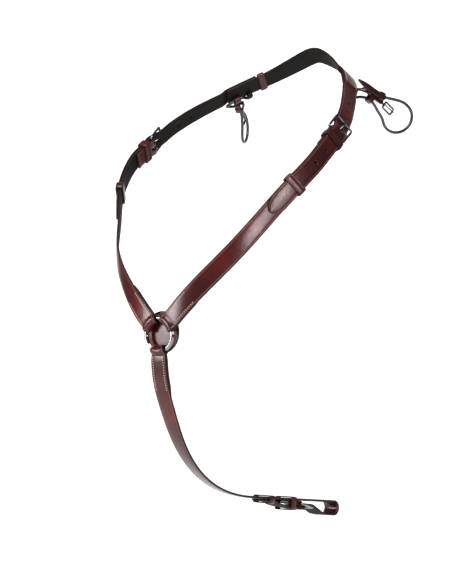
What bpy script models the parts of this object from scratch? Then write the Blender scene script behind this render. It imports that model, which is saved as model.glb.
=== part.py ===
"""Riding martingale: a steel chest ring, buckled shoulder straps, a wither strap with a lacet loop at each side,
and a girth strap that ends in a buckled loop. Metres, +Z up, the horse faces -Y, +X is the horse's left.
The origin is the inner face of the wither strap at the top of the neck."""

import math

import bmesh
import bpy
import numpy as np

# Chest ring and the disc behind it
RING_CENTRE = np.array([0.0, -0.35735, -0.40204])
RING_RADIUS = 0.022
RING_WIRE = 0.003
DISC_RADIUS = 0.028
DISC_THICK = 0.003
DISC_FRONT = 0.0083
DISC_RISE = 0.003
DISC_ASIDE = -0.0025
DISC_SIDES = 48

# Bridle leather
LEATHER = 0.003
CHAPE_LEATHER = 0.002
LAYER_STEP = 0.0034
STRAP_HALF = 0.013
GIRTH_HALF = 0.0125
FOLD_HALF = 0.0125
GIRTH_FOLD_HALF = 0.011
FOLD_TURN = 0.005
GIRTH_FOLD_TURN = 0.0058
FOLD_BLEND = 0.014
FOLD_TAIL = 0.060

# Buckles: positions along a strap, measured from its pivot bar
FRAME_WIRE = 0.0017
FRAME_HALF = 0.0155
FRAME_LENGTH = 0.025
FRAME_RISE = 0.0045
TONGUE_WIRE = 0.0012
TONGUE_EYE = 0.00325
PIVOT_TURN = 0.0037
SLOT_HALF = 0.0026
HOLE_RADIUS = 0.002
HOLE_SPACING = 0.0245

# Keepers
KEEPER_WALL = 0.0016
KEEPER_LENGTH = 0.012

# Places along the left shoulder route, from the ring wire up to the withers
SHOULDER_PIVOT = 0.361
SHOULDER_PIVOT_OUT = -0.0017
BILLET_TIP = 0.201
BILLET_END = 0.554
CROWN_START = 0.505
BILLET_OUT = 0.0033
RUNNING_KEEPER_AT = 0.251
FIXED_KEEPER_AT = 0.3455
WITHER_KEEPER_AT = 0.5615
WITHER_KEEPER_LENGTH = 0.010

# Places along the girth route, from the ring wire back under the chest
GIRTH_PIVOT = 0.420
GIRTH_PIVOT_OUT = 0.006
GIRTH_TURN_AT = 0.505
GIRTH_LOOP = 0.0095
GIRTH_TIP = 0.325
GIRTH_KEEPER_AT = 0.400
GIRTH_RUNNING_AT = 0.348
CHAPE_START = 0.374

# Lacet loops
CORD_RADIUS = 0.0021
LACET_CENTRE = np.array([0.1072, 0.2998, 0.3258])
LACET_BACK = np.array([0.349, 0.937, 0.0])
LACET_OUT = np.array([0.937, -0.349, 0.0])
LACET_HALF = 0.00425
LACET_THICK = 0.0025
LACET_FRAME_WIRE = 0.0011
LACET_FRAME_LENGTH = 0.0165
LACET_FRAME_HALF = 0.0052
LACET_TONGUE_WIRE = 0.0009
LACET_TONGUE_EYE = 0.0024
LACET_TONGUE_REACH = 0.0190
LACET_TONGUE_RISE = 0.0026
LACET_BUCKLE_BASE = (0.0508, -0.0027)
LACET_BUCKLE_TURN = -38
LACET_POINT_OUT = 0.0045
LACET_KEEPER_WALL = 0.0012
LACET_KEEPER_LENGTH = 0.008
LOWER_KEEPER = {"centre": (0.0302, 0.0069), "turn": -35, "half": 0.0080, "low": -0.0078, "high": 0.0023}
UPPER_KEEPER = {"centre": (0.0433, 0.0084), "turn": -22, "half": 0.0052, "low": 0.0022, "high": 0.0068}
TAB_AT = 0.516
TAB_LENGTH = 0.010
TAB_ACROSS = -0.007

# Route rows: x, y, z from the ring centre, then the way the strap faces as yaw and tilt in degrees
SHOULDER_ROWS = [
    (0.0156, -0.0017, 0.0156, 0, 0),
    (0.0240, -0.0012, 0.0242, 2, 0),
    (0.0420, 0.0020, 0.0430, 12, 0),
    (0.0700, 0.0130, 0.0730, 32, 0),
    (0.0980, 0.0320, 0.1070, 48, 1),
    (0.1260, 0.0690, 0.1570, 58, 3),
    (0.1470, 0.0985, 0.1960, 64, 6),
    (0.1590, 0.1270, 0.2255, 71, 10),
    (0.1620, 0.1460, 0.2434, 76, 13),
    (0.1610, 0.1680, 0.2600, 81, 17),
    (0.1550, 0.2000, 0.2840, 87, 23),
    (0.1460, 0.2225, 0.3010, 92, 28),
    (0.1360, 0.2410, 0.3140, 96, 32),
    (0.1120, 0.2800, 0.3380, 101, 40),
    (0.0880, 0.3110, 0.3570, 109, 43),
    (0.0620, 0.3360, 0.3740, 129, 45),
    (0.0380, 0.3500, 0.3880, 154, 44),
    (0.0180, 0.3565, 0.3980, 169, 41),
]
CROWN_ROW = (0.0, 0.3585, 0.4030, 180, 40)
GIRTH_ROWS = [
    (0, -0.0017, -0.0220, 0, 0),
    (0, -0.0012, -0.0340, 0, 0),
    (0, 0.0030, -0.0620, 0, -5),
    (0, 0.0180, -0.1000, -3, -18),
    (0, 0.0425, -0.1450, -12, -32),
    (0, 0.0840, -0.1870, -20, -47),
    (0, 0.1460, -0.2150, -20, -67),
    (0, 0.2390, -0.2280, -8, -84),
    (0, 0.3300, -0.2360, 0, -85),
    (0, 0.4000, -0.2420, 0, -85),
]

LEFT = 1
RIGHT = -1
SIDES = (("left", LEFT), ("right", RIGHT))


def clear_scene():
    for obj in list(bpy.data.objects):
        bpy.data.objects.remove(obj, do_unlink=True)
    for collection in list(bpy.data.collections):
        bpy.data.collections.remove(collection)


def new_collection(name):
    collection = bpy.data.collections.new(name)
    bpy.context.scene.collection.children.link(collection)
    return collection


def make_material(name, colour, metallic, roughness):
    material = bpy.data.materials.new(name)
    material.use_nodes = True
    shader = material.node_tree.nodes["Principled BSDF"]
    shader.inputs["Base Color"].default_value = (*colour, 1)
    shader.inputs["Metallic"].default_value = metallic
    shader.inputs["Roughness"].default_value = roughness
    return material


def natural_spline(rows, count):
    """Rows sampled along the natural cubic spline through the given rows, and the distance along it."""
    rows = np.array(rows, float)
    gaps = np.linalg.norm(np.diff(rows[:, :3], axis=0), axis=1)
    knots = np.concatenate([[0], np.cumsum(gaps)])
    last = len(rows) - 1
    system = np.eye(len(rows))
    target = np.zeros_like(rows)
    for i in range(1, last):
        system[i, i - 1 : i + 2] = gaps[i - 1], 2 * (gaps[i - 1] + gaps[i]), gaps[i]
        target[i] = 6 * ((rows[i + 1] - rows[i]) / gaps[i] - (rows[i] - rows[i - 1]) / gaps[i - 1])
    bends = np.linalg.solve(system, target)
    at = np.linspace(0, knots[-1], count)
    span = np.clip(np.searchsorted(knots, at, side="right") - 1, 0, last - 1)
    gap = gaps[span][:, None]
    after = (at - knots[span])[:, None] / gap
    before = 1 - after
    bow = (before**3 - before) * bends[span] + (after**3 - after) * bends[span + 1]
    return before * rows[span] + after * rows[span + 1] + bow * gap**2 / 6


def make_route(rows, count=1201):
    """A strap's centre line with three unit directions along it: along, out of the face, and across."""
    samples = natural_spline(rows, count)
    points = samples[:, :3]
    yaw, tilt = np.radians(samples[:, 3]), np.radians(samples[:, 4])
    facing = np.stack([np.sin(yaw) * np.cos(tilt), -np.cos(yaw) * np.cos(tilt), np.sin(tilt)], axis=1)
    along = np.gradient(points, axis=0)
    along /= np.linalg.norm(along, axis=1)[:, None]
    across = np.cross(facing, along)
    across /= np.linalg.norm(across, axis=1)[:, None]
    out = np.cross(along, across)
    steps = np.linalg.norm(np.diff(points, axis=0), axis=1)
    return {
        "at": np.concatenate([[0], np.cumsum(steps)]),
        "columns": np.hstack([points + RING_CENTRE, along, out, across]),
    }


def frame_at(route, at):
    """Point and unit directions (along, out, across) at a distance along a route."""
    values = [np.interp(at, route["at"], column) for column in route["columns"].T]
    return np.array(values).reshape(4, 3)


def place(route, at, across, out, side=LEFT):
    point, _, outward, sideways = frame_at(route, at)
    point = point + sideways * across + outward * out
    return point * (side, 1, 1)


def straight(route, pivot, along, across, out, side=LEFT):
    """A point from the flat frame of the route at the pivot, for rigid metal pieces."""
    point, forward, outward, sideways = frame_at(route, pivot)
    point = point + forward * along + sideways * across + outward * out
    return point * (side, 1, 1)


def add_object(name, data, material, origin=(0, 0, 0)):
    obj = bpy.data.objects.new(name, data)
    obj.location = origin
    obj.data.materials.append(material)
    PART.objects.link(obj)
    return obj


def sheet(name, grid, thickness, material, origin=(0, 0, 0)):
    """A strap: one open grid of mid-surface points given its thickness."""
    grid = np.array(grid) - np.array(origin)
    last_row, last_column = grid.shape[0] - 1, grid.shape[1] - 1
    bm = bmesh.new()
    bmesh.ops.create_grid(bm, x_segments=last_row, y_segments=last_column, size=1)
    for vertex in bm.verts:
        row = round((vertex.co.x + 1) / 2 * last_row)
        column = round((vertex.co.y + 1) / 2 * last_column)
        vertex.co = grid[row, column]
    mesh = bpy.data.meshes.new(name)
    bm.to_mesh(mesh)
    bm.free()
    obj = add_object(name, mesh, material, origin)
    solid = obj.modifiers.new("thickness", "SOLIDIFY")
    solid.thickness = thickness
    solid.offset = 0
    solid.use_even_offset = True
    return obj


def wire(name, points, radius, material, closed=False, sides=2, origin=(0, 0, 0)):
    """A round bar or cord along a chain of points."""
    curve = bpy.data.curves.new(name, "CURVE")
    curve.dimensions = "3D"
    curve.bevel_depth = radius
    curve.bevel_resolution = sides
    curve.use_fill_caps = not closed
    spline = curve.splines.new("POLY")
    spline.points.add(len(points) - 1)
    spline.use_cyclic_u = closed
    for knot, point in zip(spline.points, points):
        knot.co = (*(np.array(point) - np.array(origin)), 1)
    return add_object(name, curve, material, origin)


def band(name, section, ends, thickness, material, origin=(0, 0, 0)):
    """A keeper: a closed outline of (across, out) pairs swept between two ends along the strap."""
    bm = bmesh.new()
    ring = bmesh.ops.create_circle(bm, segments=len(section), radius=1)["verts"]
    edges = list(bm.edges)
    second = bmesh.ops.extrude_edge_only(bm, edges=edges)["geom"]
    second = [item for item in second if isinstance(item, bmesh.types.BMVert)]
    for verts, end in ((ring, ends[0]), (second, ends[1])):
        for vertex, (across, out) in zip(verts, section):
            vertex.co = end(across, out) - np.array(origin)
    mesh = bpy.data.meshes.new(name)
    bm.to_mesh(mesh)
    bm.free()
    obj = add_object(name, mesh, material, origin)
    solid = obj.modifiers.new("thickness", "SOLIDIFY")
    solid.thickness = thickness
    solid.offset = 0
    solid.use_even_offset = True
    return obj


def rounded_box(half_width, low, high, corner, centre=0.0, steps=3):
    """Corner-rounded outline as (across, out) pairs, in order."""
    outline = []
    corners = (
        (half_width - corner, high - corner, 0),
        (-half_width + corner, high - corner, 90),
        (-half_width + corner, low + corner, 180),
        (half_width - corner, low + corner, 270),
    )
    for across, out, start in corners:
        for step in range(steps):
            turn = math.radians(start + 90 * step / (steps - 1))
            outline.append((centre + across + corner * math.cos(turn), out + corner * math.sin(turn)))
    return outline


def cut(obj, cutter_mesh, name):
    """Removes a cutter's shape from an object."""
    cutter = bpy.data.objects.new(name, cutter_mesh)
    cutter.hide_render = True
    cutter.display_type = "WIRE"
    CUTTERS.objects.link(cutter)
    boolean = obj.modifiers.new(name, "BOOLEAN")
    boolean.operation = "DIFFERENCE"
    boolean.solver = "EXACT"
    boolean.object = cutter


def axes_matrix(point, along, across, out):
    """Column matrix from local x, y, z to the three given directions, moved to a point."""
    matrix = np.eye(4)
    matrix[:3, 0], matrix[:3, 1], matrix[:3, 2], matrix[:3, 3] = along, across, out, point
    return matrix


def hole_cutter(name, route, holes, slots, side):
    """Round holes as (at, out) pairs and long slots as (at, out, half length, half width, half depth)."""
    bm = bmesh.new()
    mirror = np.diag([side, 1, 1, 1])
    for at, out in holes:
        point, along, outward, across = frame_at(route, at)
        matrix = mirror @ axes_matrix(point + outward * out, along, across, outward)
        made = bmesh.ops.create_cone(
            bm, cap_ends=True, segments=12, radius1=HOLE_RADIUS, radius2=HOLE_RADIUS, depth=2 * LEATHER * 0.9
        )["verts"]
        for vertex in made:
            vertex.co = (matrix @ np.array([*vertex.co, 1]))[:3]
    for at, out, half_length, half_width, half_depth in slots:
        point, along, outward, across = frame_at(route, at)
        matrix = mirror @ axes_matrix(point + outward * out, along, across, outward)
        made = bmesh.ops.create_cube(bm, size=2)["verts"]
        for vertex in made:
            local = np.array([*vertex.co, 1]) * (half_length, half_width, half_depth, 1)
            vertex.co = (matrix @ local)[:3]
    bm.normal_update()
    bmesh.ops.recalc_face_normals(bm, faces=list(bm.faces))
    mesh = bpy.data.meshes.new(name)
    bm.to_mesh(mesh)
    bm.free()
    return mesh


def fold_rows(middle, half_width, turn_radius, columns, side):
    """Rows where a strap end wraps the ring's wire, from its front face through the ring to its back."""
    rows = []
    for turn in np.radians((90, 112, 135, 158, 180, 202, 225, 248, 270)):
        row = []
        for part in columns:
            spoke = math.radians(middle) + math.asin(part * half_width / RING_RADIUS)
            reach = RING_RADIUS + turn_radius * math.cos(turn)
            point = np.array([math.cos(spoke) * reach, -turn_radius * math.sin(turn), math.sin(spoke) * reach])
            row.append((point + RING_CENTRE) * (side, 1, 1))
        rows.append(row)
    return rows


def layer_rows(route, stations, columns, side, fold=None):
    """Rows of a strap layer. Stations are (at, out, half width). Near a ring fold each row bows with the ring."""
    rows = []
    for at, out, half_width in stations:
        bow = max(0.0, 1 - at / FOLD_BLEND) if fold else 0.0
        row = []
        for part in columns:
            across = part * half_width
            back = (RING_RADIUS - math.sqrt(RING_RADIUS**2 - min(abs(across), FOLD_HALF) ** 2)) * bow
            _, along, _, _ = frame_at(route, at)
            row.append(place(route, at, across, out, side) - along * (side, 1, 1) * back)
        rows.append(row)
    return rows


def ring_end_stations(half_width, fold_half, turn_radius, front):
    """Stations of the front or back layer where it leaves the ring, in order away from the ring."""
    stations = []
    for at in (0.003, 0.006, 0.010, 0.014):
        blend = 1 - at / FOLD_BLEND
        spread = (turn_radius - 0.0017) * blend
        width = half_width + (fold_half - half_width) * blend
        stations.append((at, spread if front else -LAYER_STEP - spread, width))
    return stations


def even_stations(start, end, step, out, half_width):
    count = max(2, round(abs(end - start) / step) + 1)
    return [(at, out, half_width) for at in np.linspace(start, end, count)]


def pivot_fold_rows(route, pivot, pivot_out, radius, half_width, columns, side):
    """Rows where a strap end turns round a buckle's pivot bar, from its front to its back."""
    rows = []
    for turn in np.radians((90, 60, 30, 0, -30, -60, -90)):
        along = radius * math.cos(turn)
        out = pivot_out + radius * math.sin(turn)
        rows.append([straight(route, pivot, along, part * half_width, out, side) for part in columns])
    return rows


FIVE = (-1, -0.6, -0.2, 0.2, 0.6, 1)
FOUR = (-1, -0.5, 0, 0.5, 1)


def add_chest_ring():
    bpy.ops.mesh.primitive_torus_add(
        major_radius=RING_RADIUS,
        minor_radius=RING_WIRE,
        major_segments=48,
        minor_segments=12,
        location=RING_CENTRE,
        rotation=(math.pi / 2, 0, 0),
    )
    ring = bpy.context.object
    ring.name = "chest_ring"
    ring.data.materials.append(STEEL)
    for collection in list(ring.users_collection):
        collection.objects.unlink(ring)
    PART.objects.link(ring)


def add_backing_disc():
    middle = RING_CENTRE + (DISC_ASIDE, DISC_FRONT + DISC_THICK / 2, DISC_RISE)
    bm = bmesh.new()
    bmesh.ops.create_cone(
        bm, cap_ends=True, segments=DISC_SIDES, radius1=DISC_RADIUS, radius2=DISC_RADIUS, depth=DISC_THICK
    )
    for vertex in bm.verts:
        x, y, z = vertex.co
        vertex.co = (x, -z, y)
    mesh = bpy.data.meshes.new("backing_disc")
    bm.to_mesh(mesh)
    bm.free()
    add_object("backing_disc", mesh, LEATHER_MATERIAL, middle)


def add_shoulder_strap(word, side):
    front = ring_end_stations(STRAP_HALF, FOLD_HALF, FOLD_TURN, True)
    back = ring_end_stations(STRAP_HALF, FOLD_HALF, FOLD_TURN, False)
    rise_start = SHOULDER_PIVOT - 0.0075
    top_out = SHOULDER_PIVOT_OUT + PIVOT_TURN
    low_out = SHOULDER_PIVOT_OUT - PIVOT_TURN
    rows = layer_rows(ROUTE, even_stations(FOLD_TAIL, 0.024, 0.012, -LAYER_STEP, STRAP_HALF), FIVE, side)
    rows += layer_rows(ROUTE, back[::-1], FIVE, side, fold=True)
    rows += fold_rows(45, FOLD_HALF, FOLD_TURN, FIVE, side)[::-1]
    rows += layer_rows(ROUTE, front, FIVE, side, fold=True)
    rows += layer_rows(ROUTE, even_stations(0.022, rise_start, 0.012, 0, STRAP_HALF), FIVE, side)
    rows += layer_rows(ROUTE, [(SHOULDER_PIVOT - 0.005, top_out * 0.6, STRAP_HALF)], FIVE, side)
    rows += pivot_fold_rows(ROUTE, SHOULDER_PIVOT, SHOULDER_PIVOT_OUT, PIVOT_TURN, STRAP_HALF, FIVE, side)
    under = -LAYER_STEP + 0.6 * (low_out + LAYER_STEP)
    rows += layer_rows(ROUTE, [(SHOULDER_PIVOT - 0.005, under, STRAP_HALF)], FIVE, side)
    rows += layer_rows(ROUTE, even_stations(rise_start, 0.322, 0.010, -LAYER_STEP, STRAP_HALF), FIVE, side)
    strap = sheet(f"shoulder_strap_{word}", rows, LEATHER, LEATHER_MATERIAL)
    slot = [(SHOULDER_PIVOT + 0.001, SHOULDER_PIVOT_OUT, 0.0065, SLOT_HALF, 0.008)]
    cut(strap, hole_cutter(f"slot_{word}", ROUTE, [], slot, side), f"tongue_slot_{word}")


def buckle_profile(base):
    """Billet height over the base beside a buckle, as (along from pivot, out from pivot bar)."""
    return [
        (-0.009, base),
        (-0.005, 0.0062),
        (0.0, 0.0071),
        (0.0055, 0.0062),
        (0.011, 0.0038),
        (0.016, 0.0018),
        (0.0205, 0.0009),
        (0.0295, 0.0009),
    ]


def add_billet(word, side):
    tip = [(BILLET_TIP, 0.0015), (BILLET_TIP + 0.003, 0.006), (BILLET_TIP + 0.008, 0.0098)]
    tip += [(BILLET_TIP + 0.015, STRAP_HALF)]
    stations = [(at, BILLET_OUT, half) for at, half in tip]
    stations += even_stations(BILLET_TIP + 0.027, 0.343, 0.012, BILLET_OUT, STRAP_HALF)
    over = BILLET_OUT - SHOULDER_PIVOT_OUT
    stations += [(SHOULDER_PIVOT + t, SHOULDER_PIVOT_OUT + out, STRAP_HALF) for t, out in buckle_profile(over)]
    stations += even_stations(0.404, 0.492, 0.012, 0, STRAP_HALF)
    stations += [(0.497, 0.0007, STRAP_HALF), (0.502, 0.0026, STRAP_HALF), (0.507, 0.0033, STRAP_HALF)]
    stations += even_stations(0.516, BILLET_END, 0.012, BILLET_OUT, STRAP_HALF)
    billet = sheet(f"billet_{word}", layer_rows(ROUTE, stations, FOUR, side), LEATHER, LEATHER_MATERIAL)
    first = SHOULDER_PIVOT + 0.0065
    holes = [(first - HOLE_SPACING * i, BILLET_OUT) for i in (3, 2, 1)]
    holes += [(first + HOLE_SPACING * i, 0.0) for i in (2, 3)]
    slot = [(SHOULDER_PIVOT + 0.0105, 0.002, 0.0068, 0.0019, 0.0065)]
    cut(billet, hole_cutter(f"holes_{word}", ROUTE, holes, slot, side), f"billet_holes_{word}")


def add_wither_strap():
    length = ROUTE["at"][-1]
    stations = even_stations(CROWN_START, length - CROWN_START, 0.010, 0, STRAP_HALF)
    sheet("wither_strap", layer_rows(ROUTE, stations, FOUR, LEFT), LEATHER, LEATHER_MATERIAL)


def frame_outline(length, half_width, rise, corner):
    """Cyclic outline of a half buckle in (along, across, out), starting at the pivot bar."""
    points = []
    corners = ((0, -1, 180), (0, 1, 90), (length, 1, 0), (length, -1, -90))
    for along, hand, start in corners:
        centre_along = along + (corner if along == 0 else -corner)
        centre_across = hand * (half_width - corner)
        for degrees in (start + 90, start + 45, start):
            turn = math.radians(degrees)
            t = centre_along + corner * math.cos(turn)
            points.append((t, centre_across + corner * math.sin(turn), rise * t / length))
    return points


def add_buckle(word, route, pivot, pivot_out, side):
    outline = frame_outline(FRAME_LENGTH, FRAME_HALF, FRAME_RISE, 0.0025)
    points = [straight(route, pivot, t, a, pivot_out + n, side) for t, a, n in outline]
    origin = straight(route, pivot, 0, 0, pivot_out, side)
    wire(f"buckle_frame_{word}", points, FRAME_WIRE, STEEL, closed=True, origin=origin)


def tongue_path(eye, reach, rise):
    """Tongue centre line as (along, out) from the pivot bar: an open eye, then a shank that rises over the bar."""
    path = []
    for degrees in range(-25, -291, -19):
        turn = math.radians(degrees)
        path.append((eye * math.cos(turn), eye * math.sin(turn)))
    for part, height in ((0.17, 0.42), (0.30, 0.54), (0.43, 0.74), (0.58, 0.91), (0.75, 0.99), (0.9, 1.0), (1, 0.97)):
        path.append((reach * part, rise * height))
    return path


def add_tongue(word, route, pivot, pivot_out, side):
    path = tongue_path(TONGUE_EYE, 0.0295, FRAME_RISE + FRAME_WIRE + TONGUE_WIRE + 0.0003)
    points = [straight(route, pivot, t, 0, pivot_out + n, side) for t, n in path]
    origin = straight(route, pivot, 0, 0, pivot_out, side)
    wire(f"buckle_tongue_{word}", points, TONGUE_WIRE, STEEL, sides=2, origin=origin)


def add_keeper(name, route, at, length, section, side, origin=(0, 0, 0)):
    """A band of leather square to the strap at one place."""
    ends = [
        lambda across, out, shift=shift: straight(route, at, shift, across, out, side)
        for shift in (-length / 2, length / 2)
    ]
    band(name, section, ends, KEEPER_WALL, LEATHER_MATERIAL, origin)


def keeper_section(half_width, low, high):
    """Mid-wall outline of a keeper from the inside faces that it must clear."""
    wall = KEEPER_WALL / 2
    return rounded_box(half_width + wall, low - wall, high + wall, 0.0012)


def add_side_keepers(word, side):
    add_keeper(
        f"fixed_keeper_{word}",
        ROUTE,
        FIXED_KEEPER_AT,
        KEEPER_LENGTH,
        keeper_section(STRAP_HALF + 0.0007, -0.0054, 0.0053),
        side,
    )
    origin = straight(ROUTE, RUNNING_KEEPER_AT, 0, 0, 0, side)
    add_keeper(
        f"running_keeper_{word}",
        ROUTE,
        RUNNING_KEEPER_AT,
        KEEPER_LENGTH,
        keeper_section(STRAP_HALF + 0.0009, -0.0022, 0.0056),
        side,
        origin,
    )
    add_keeper(
        f"wither_keeper_{word}",
        ROUTE,
        WITHER_KEEPER_AT,
        WITHER_KEEPER_LENGTH,
        keeper_section(STRAP_HALF + 0.0006, -0.0020, 0.0020),
        side,
    )


def girth_stations():
    """Stations of the girth strap: out from the ring, round the loop, and back as the billet."""
    out = [(at, n, GIRTH_HALF) for at, n, _ in even_stations(0.022, GIRTH_TURN_AT, 0.014, 0, GIRTH_HALF)]
    turn = []
    for degrees in (30, 60, 90, 120, 150, 180):
        angle = math.radians(degrees)
        turn.append((GIRTH_TURN_AT + GIRTH_LOOP * math.sin(angle), GIRTH_LOOP * (1 - math.cos(angle)), GIRTH_HALF))
    back = [(0.490, 0.0190), (0.475, 0.0175), (0.462, 0.0120)]
    profile = [(GIRTH_PIVOT + t, GIRTH_PIVOT_OUT + n) for t, n in buckle_profile(0.0058)]
    back += profile[::-1]
    back += [(0.398, 0.0112), (0.386, 0.0100), (0.376, 0.0086), (0.370, 0.0080), (0.364, 0.0056), (0.357, 0.0036)]
    back += [(0.349, BILLET_OUT), (0.340, BILLET_OUT)]
    returning = [(at, n, GIRTH_HALF) for at, n in back]
    returning += [(GIRTH_TIP + 0.008, BILLET_OUT, 0.0095), (GIRTH_TIP + 0.003, BILLET_OUT, 0.006)]
    returning += [(GIRTH_TIP, BILLET_OUT, 0.0015)]
    return out, turn, returning


def add_girth_strap():
    origin = RING_CENTRE + (0, 0, -RING_RADIUS)
    back = ring_end_stations(GIRTH_HALF, GIRTH_FOLD_HALF, GIRTH_FOLD_TURN, False)
    front = ring_end_stations(GIRTH_HALF, GIRTH_FOLD_HALF, GIRTH_FOLD_TURN, True)
    out, turn, returning = girth_stations()
    rows = layer_rows(GIRTH, even_stations(0.062, 0.024, 0.012, -LAYER_STEP, GIRTH_HALF), FIVE, LEFT)
    rows += layer_rows(GIRTH, back[::-1], FIVE, LEFT, fold=True)
    rows += fold_rows(270, GIRTH_FOLD_HALF, GIRTH_FOLD_TURN, FIVE, LEFT)[::-1]
    rows += layer_rows(GIRTH, front, FIVE, LEFT, fold=True)
    rows += layer_rows(GIRTH, out, FIVE, LEFT)
    rows += layer_rows(GIRTH, turn, FIVE, LEFT)
    rows += layer_rows(GIRTH, returning, FIVE, LEFT)
    strap = sheet("girth_strap", rows, LEATHER, LEATHER_MATERIAL, origin)
    slot = [(GIRTH_PIVOT + 0.0105, GIRTH_PIVOT_OUT + 0.0043, 0.0068, 0.0019, 0.0065)]
    holes = [(0.3785, 0.0089), (0.4835, 0.0186)]
    cutter = hole_cutter("holes_girth", GIRTH, holes, slot, LEFT)
    cut(strap, cutter, "girth_holes")


def add_girth_chape():
    low, high = 0.0028, 0.0051
    radius = 0.0031
    rows = layer_rows(GIRTH, even_stations(CHAPE_START, GIRTH_PIVOT - 0.010, 0.012, high, GIRTH_HALF), FOUR, LEFT)
    rows += layer_rows(GIRTH, [(GIRTH_PIVOT - 0.005, 0.0075, GIRTH_HALF)], FOUR, LEFT)
    rows += pivot_fold_rows(GIRTH, GIRTH_PIVOT, GIRTH_PIVOT_OUT, radius, GIRTH_HALF, FOUR, LEFT)
    rows += layer_rows(GIRTH, even_stations(GIRTH_PIVOT - 0.008, CHAPE_START, 0.012, low, GIRTH_HALF), FOUR, LEFT)
    chape = sheet("girth_chape", rows, CHAPE_LEATHER, LEATHER_MATERIAL)
    slot = [(GIRTH_PIVOT, GIRTH_PIVOT_OUT, 0.0062, SLOT_HALF, 0.006)]
    cut(chape, hole_cutter("slot_girth", GIRTH, [], slot, LEFT), "tongue_slot_girth")


def add_girth_keepers():
    add_keeper(
        "fixed_keeper_girth",
        GIRTH,
        GIRTH_KEEPER_AT,
        KEEPER_LENGTH,
        keeper_section(GIRTH_HALF + 0.0007, -0.0020, 0.0140),
        LEFT,
    )
    origin = straight(GIRTH, GIRTH_RUNNING_AT, 0, 0, 0)
    section = keeper_section(GIRTH_HALF + 0.0009, -0.0022, 0.0058)
    add_keeper("running_keeper_girth", GIRTH, GIRTH_RUNNING_AT, KEEPER_LENGTH, section, LEFT, origin)


def lacet_point(back, up, out, side):
    """A point from the lacet's own plane: back along it, up, and out of it."""
    point = LACET_CENTRE + LACET_BACK * back + (0, 0, up) + LACET_OUT * out
    return (point + RING_CENTRE) * (side, 1, 1)


# Cord route in the lacet plane (back, up, out): under the strap, through a keeper, round the loop and back
CORD_ROUTE = [
    (0.0200, 0.0060, -0.0045),
    (0.0272, 0.0038, -0.0045),
    (0.0330, 0.0000, -0.0042),
    (0.0378, -0.0055, -0.0036),
    (0.0422, -0.0130, -0.0027),
    (0.0475, -0.0210, -0.0015),
    (0.0520, -0.0335, 0.0000),
    (0.0590, -0.0395, 0.0012),
    (0.0699, -0.0414, 0.0024),
    (0.0810, -0.0385, 0.0033),
    (0.0905, -0.0313, 0.0040),
    (0.0954, -0.0220, 0.0044),
    (0.0953, -0.0128, 0.0047),
    (0.0902, -0.0047, 0.0047),
    (0.0810, 0.0013, 0.0046),
    (0.0688, 0.0042, 0.0045),
    (0.0560, 0.0060, 0.0045),
    (0.0505, 0.0067, 0.0045),
]
POINT_ROWS = [
    (0.0495, 0.0066),
    (0.0433, 0.0084),
    (0.0348, 0.0120),
    (0.0241, 0.0175),
    (0.0139, 0.0232),
    (0.0038, 0.0293),
]
CHAPE_ROWS = [
    (0.0175, 0.0182, -0.0110),
    (0.0228, 0.0160, -0.0025),
    (0.0320, 0.0093, 0),
    (0.0405, 0.0040, 0),
    (0.0478, -0.0005, 0),
]


def ribbon_rows(points, halves, facing):
    """Rows of a narrow flat strip along points, square to its own path."""
    points = np.array(points)
    along = np.gradient(points, axis=0)
    along /= np.linalg.norm(along, axis=1)[:, None]
    facing = np.array(facing)
    across = np.cross(np.broadcast_to(facing, along.shape), along)
    across /= np.linalg.norm(across, axis=1)[:, None]
    return [[p + w * half * part for part in (-1, 0, 1)] for p, w, half in zip(points, across, halves)]


def lacet_band(name, centre, angle, section, length, side):
    """A small keeper square to a direction in the lacet plane."""
    turn = math.radians(angle)

    def at(shift):
        def end(across, out):
            back = centre[0] + shift * math.cos(turn) - across * math.sin(turn)
            up = centre[1] + shift * math.sin(turn) + across * math.cos(turn)
            return lacet_point(back, up, out, side)

        return end

    band(name, section, [at(-length / 2), at(length / 2)], LACET_KEEPER_WALL, LEATHER_MATERIAL)


def add_lacet(word, side):
    cord = cord_points(side)
    wire(f"lacet_cord_{word}", cord, CORD_RADIUS, CORD_MATERIAL)
    points = [lacet_point(a, b, LACET_POINT_OUT, side) for a, b in POINT_ROWS]
    halves = (0.0030, LACET_HALF, LACET_HALF, LACET_HALF, 0.0035, 0.0010)
    facing = LACET_OUT * (side, 1, 1)
    sheet(f"lacet_point_{word}", ribbon_rows(points, halves, facing), LACET_THICK, LEATHER_MATERIAL)
    strap_end = [place(ROUTE, 0.536, -0.006, -0.0050, side), place(ROUTE, 0.538, -0.014, -0.0048, side)]
    chape = strap_end + [lacet_point(a, b, c, side) for a, b, c in CHAPE_ROWS]
    smooth = natural_spline([(*p, 0, 0) for p in chape], 10)[:, :3]
    facings = np.linspace(0, 1, 10)[:, None]
    _, _, strap_out, _ = frame_at(ROUTE, 0.537)
    blend = np.clip(facings * 1.6, 0, 1)
    facing = strap_out * (side, 1, 1) * (1 - blend) + facing * blend
    chape_halves = [LACET_HALF] * 8 + [0.0036, 0.0028]
    sheet(f"lacet_chape_{word}", ribbon_rows(smooth, chape_halves, facing), LACET_THICK, LEATHER_MATERIAL)
    add_lacet_keepers(word, side)
    add_lacet_buckle(word, side)


def cord_points(side):
    hidden = [place(ROUTE, at, across, -0.0062) - RING_CENTRE for at, across in ((0.526, -0.007), (0.512, -0.007))]
    hidden += [place(ROUTE, 0.500, -0.0095, -0.0062) - RING_CENTRE]
    free = [lacet_point(a, b, c, LEFT) - RING_CENTRE for a, b, c in CORD_ROUTE]
    route = natural_spline([(*p, 0, 0) for p in hidden + free], 46)[:, :3]
    return [(p + RING_CENTRE) * (side, 1, 1) for p in route]


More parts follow.
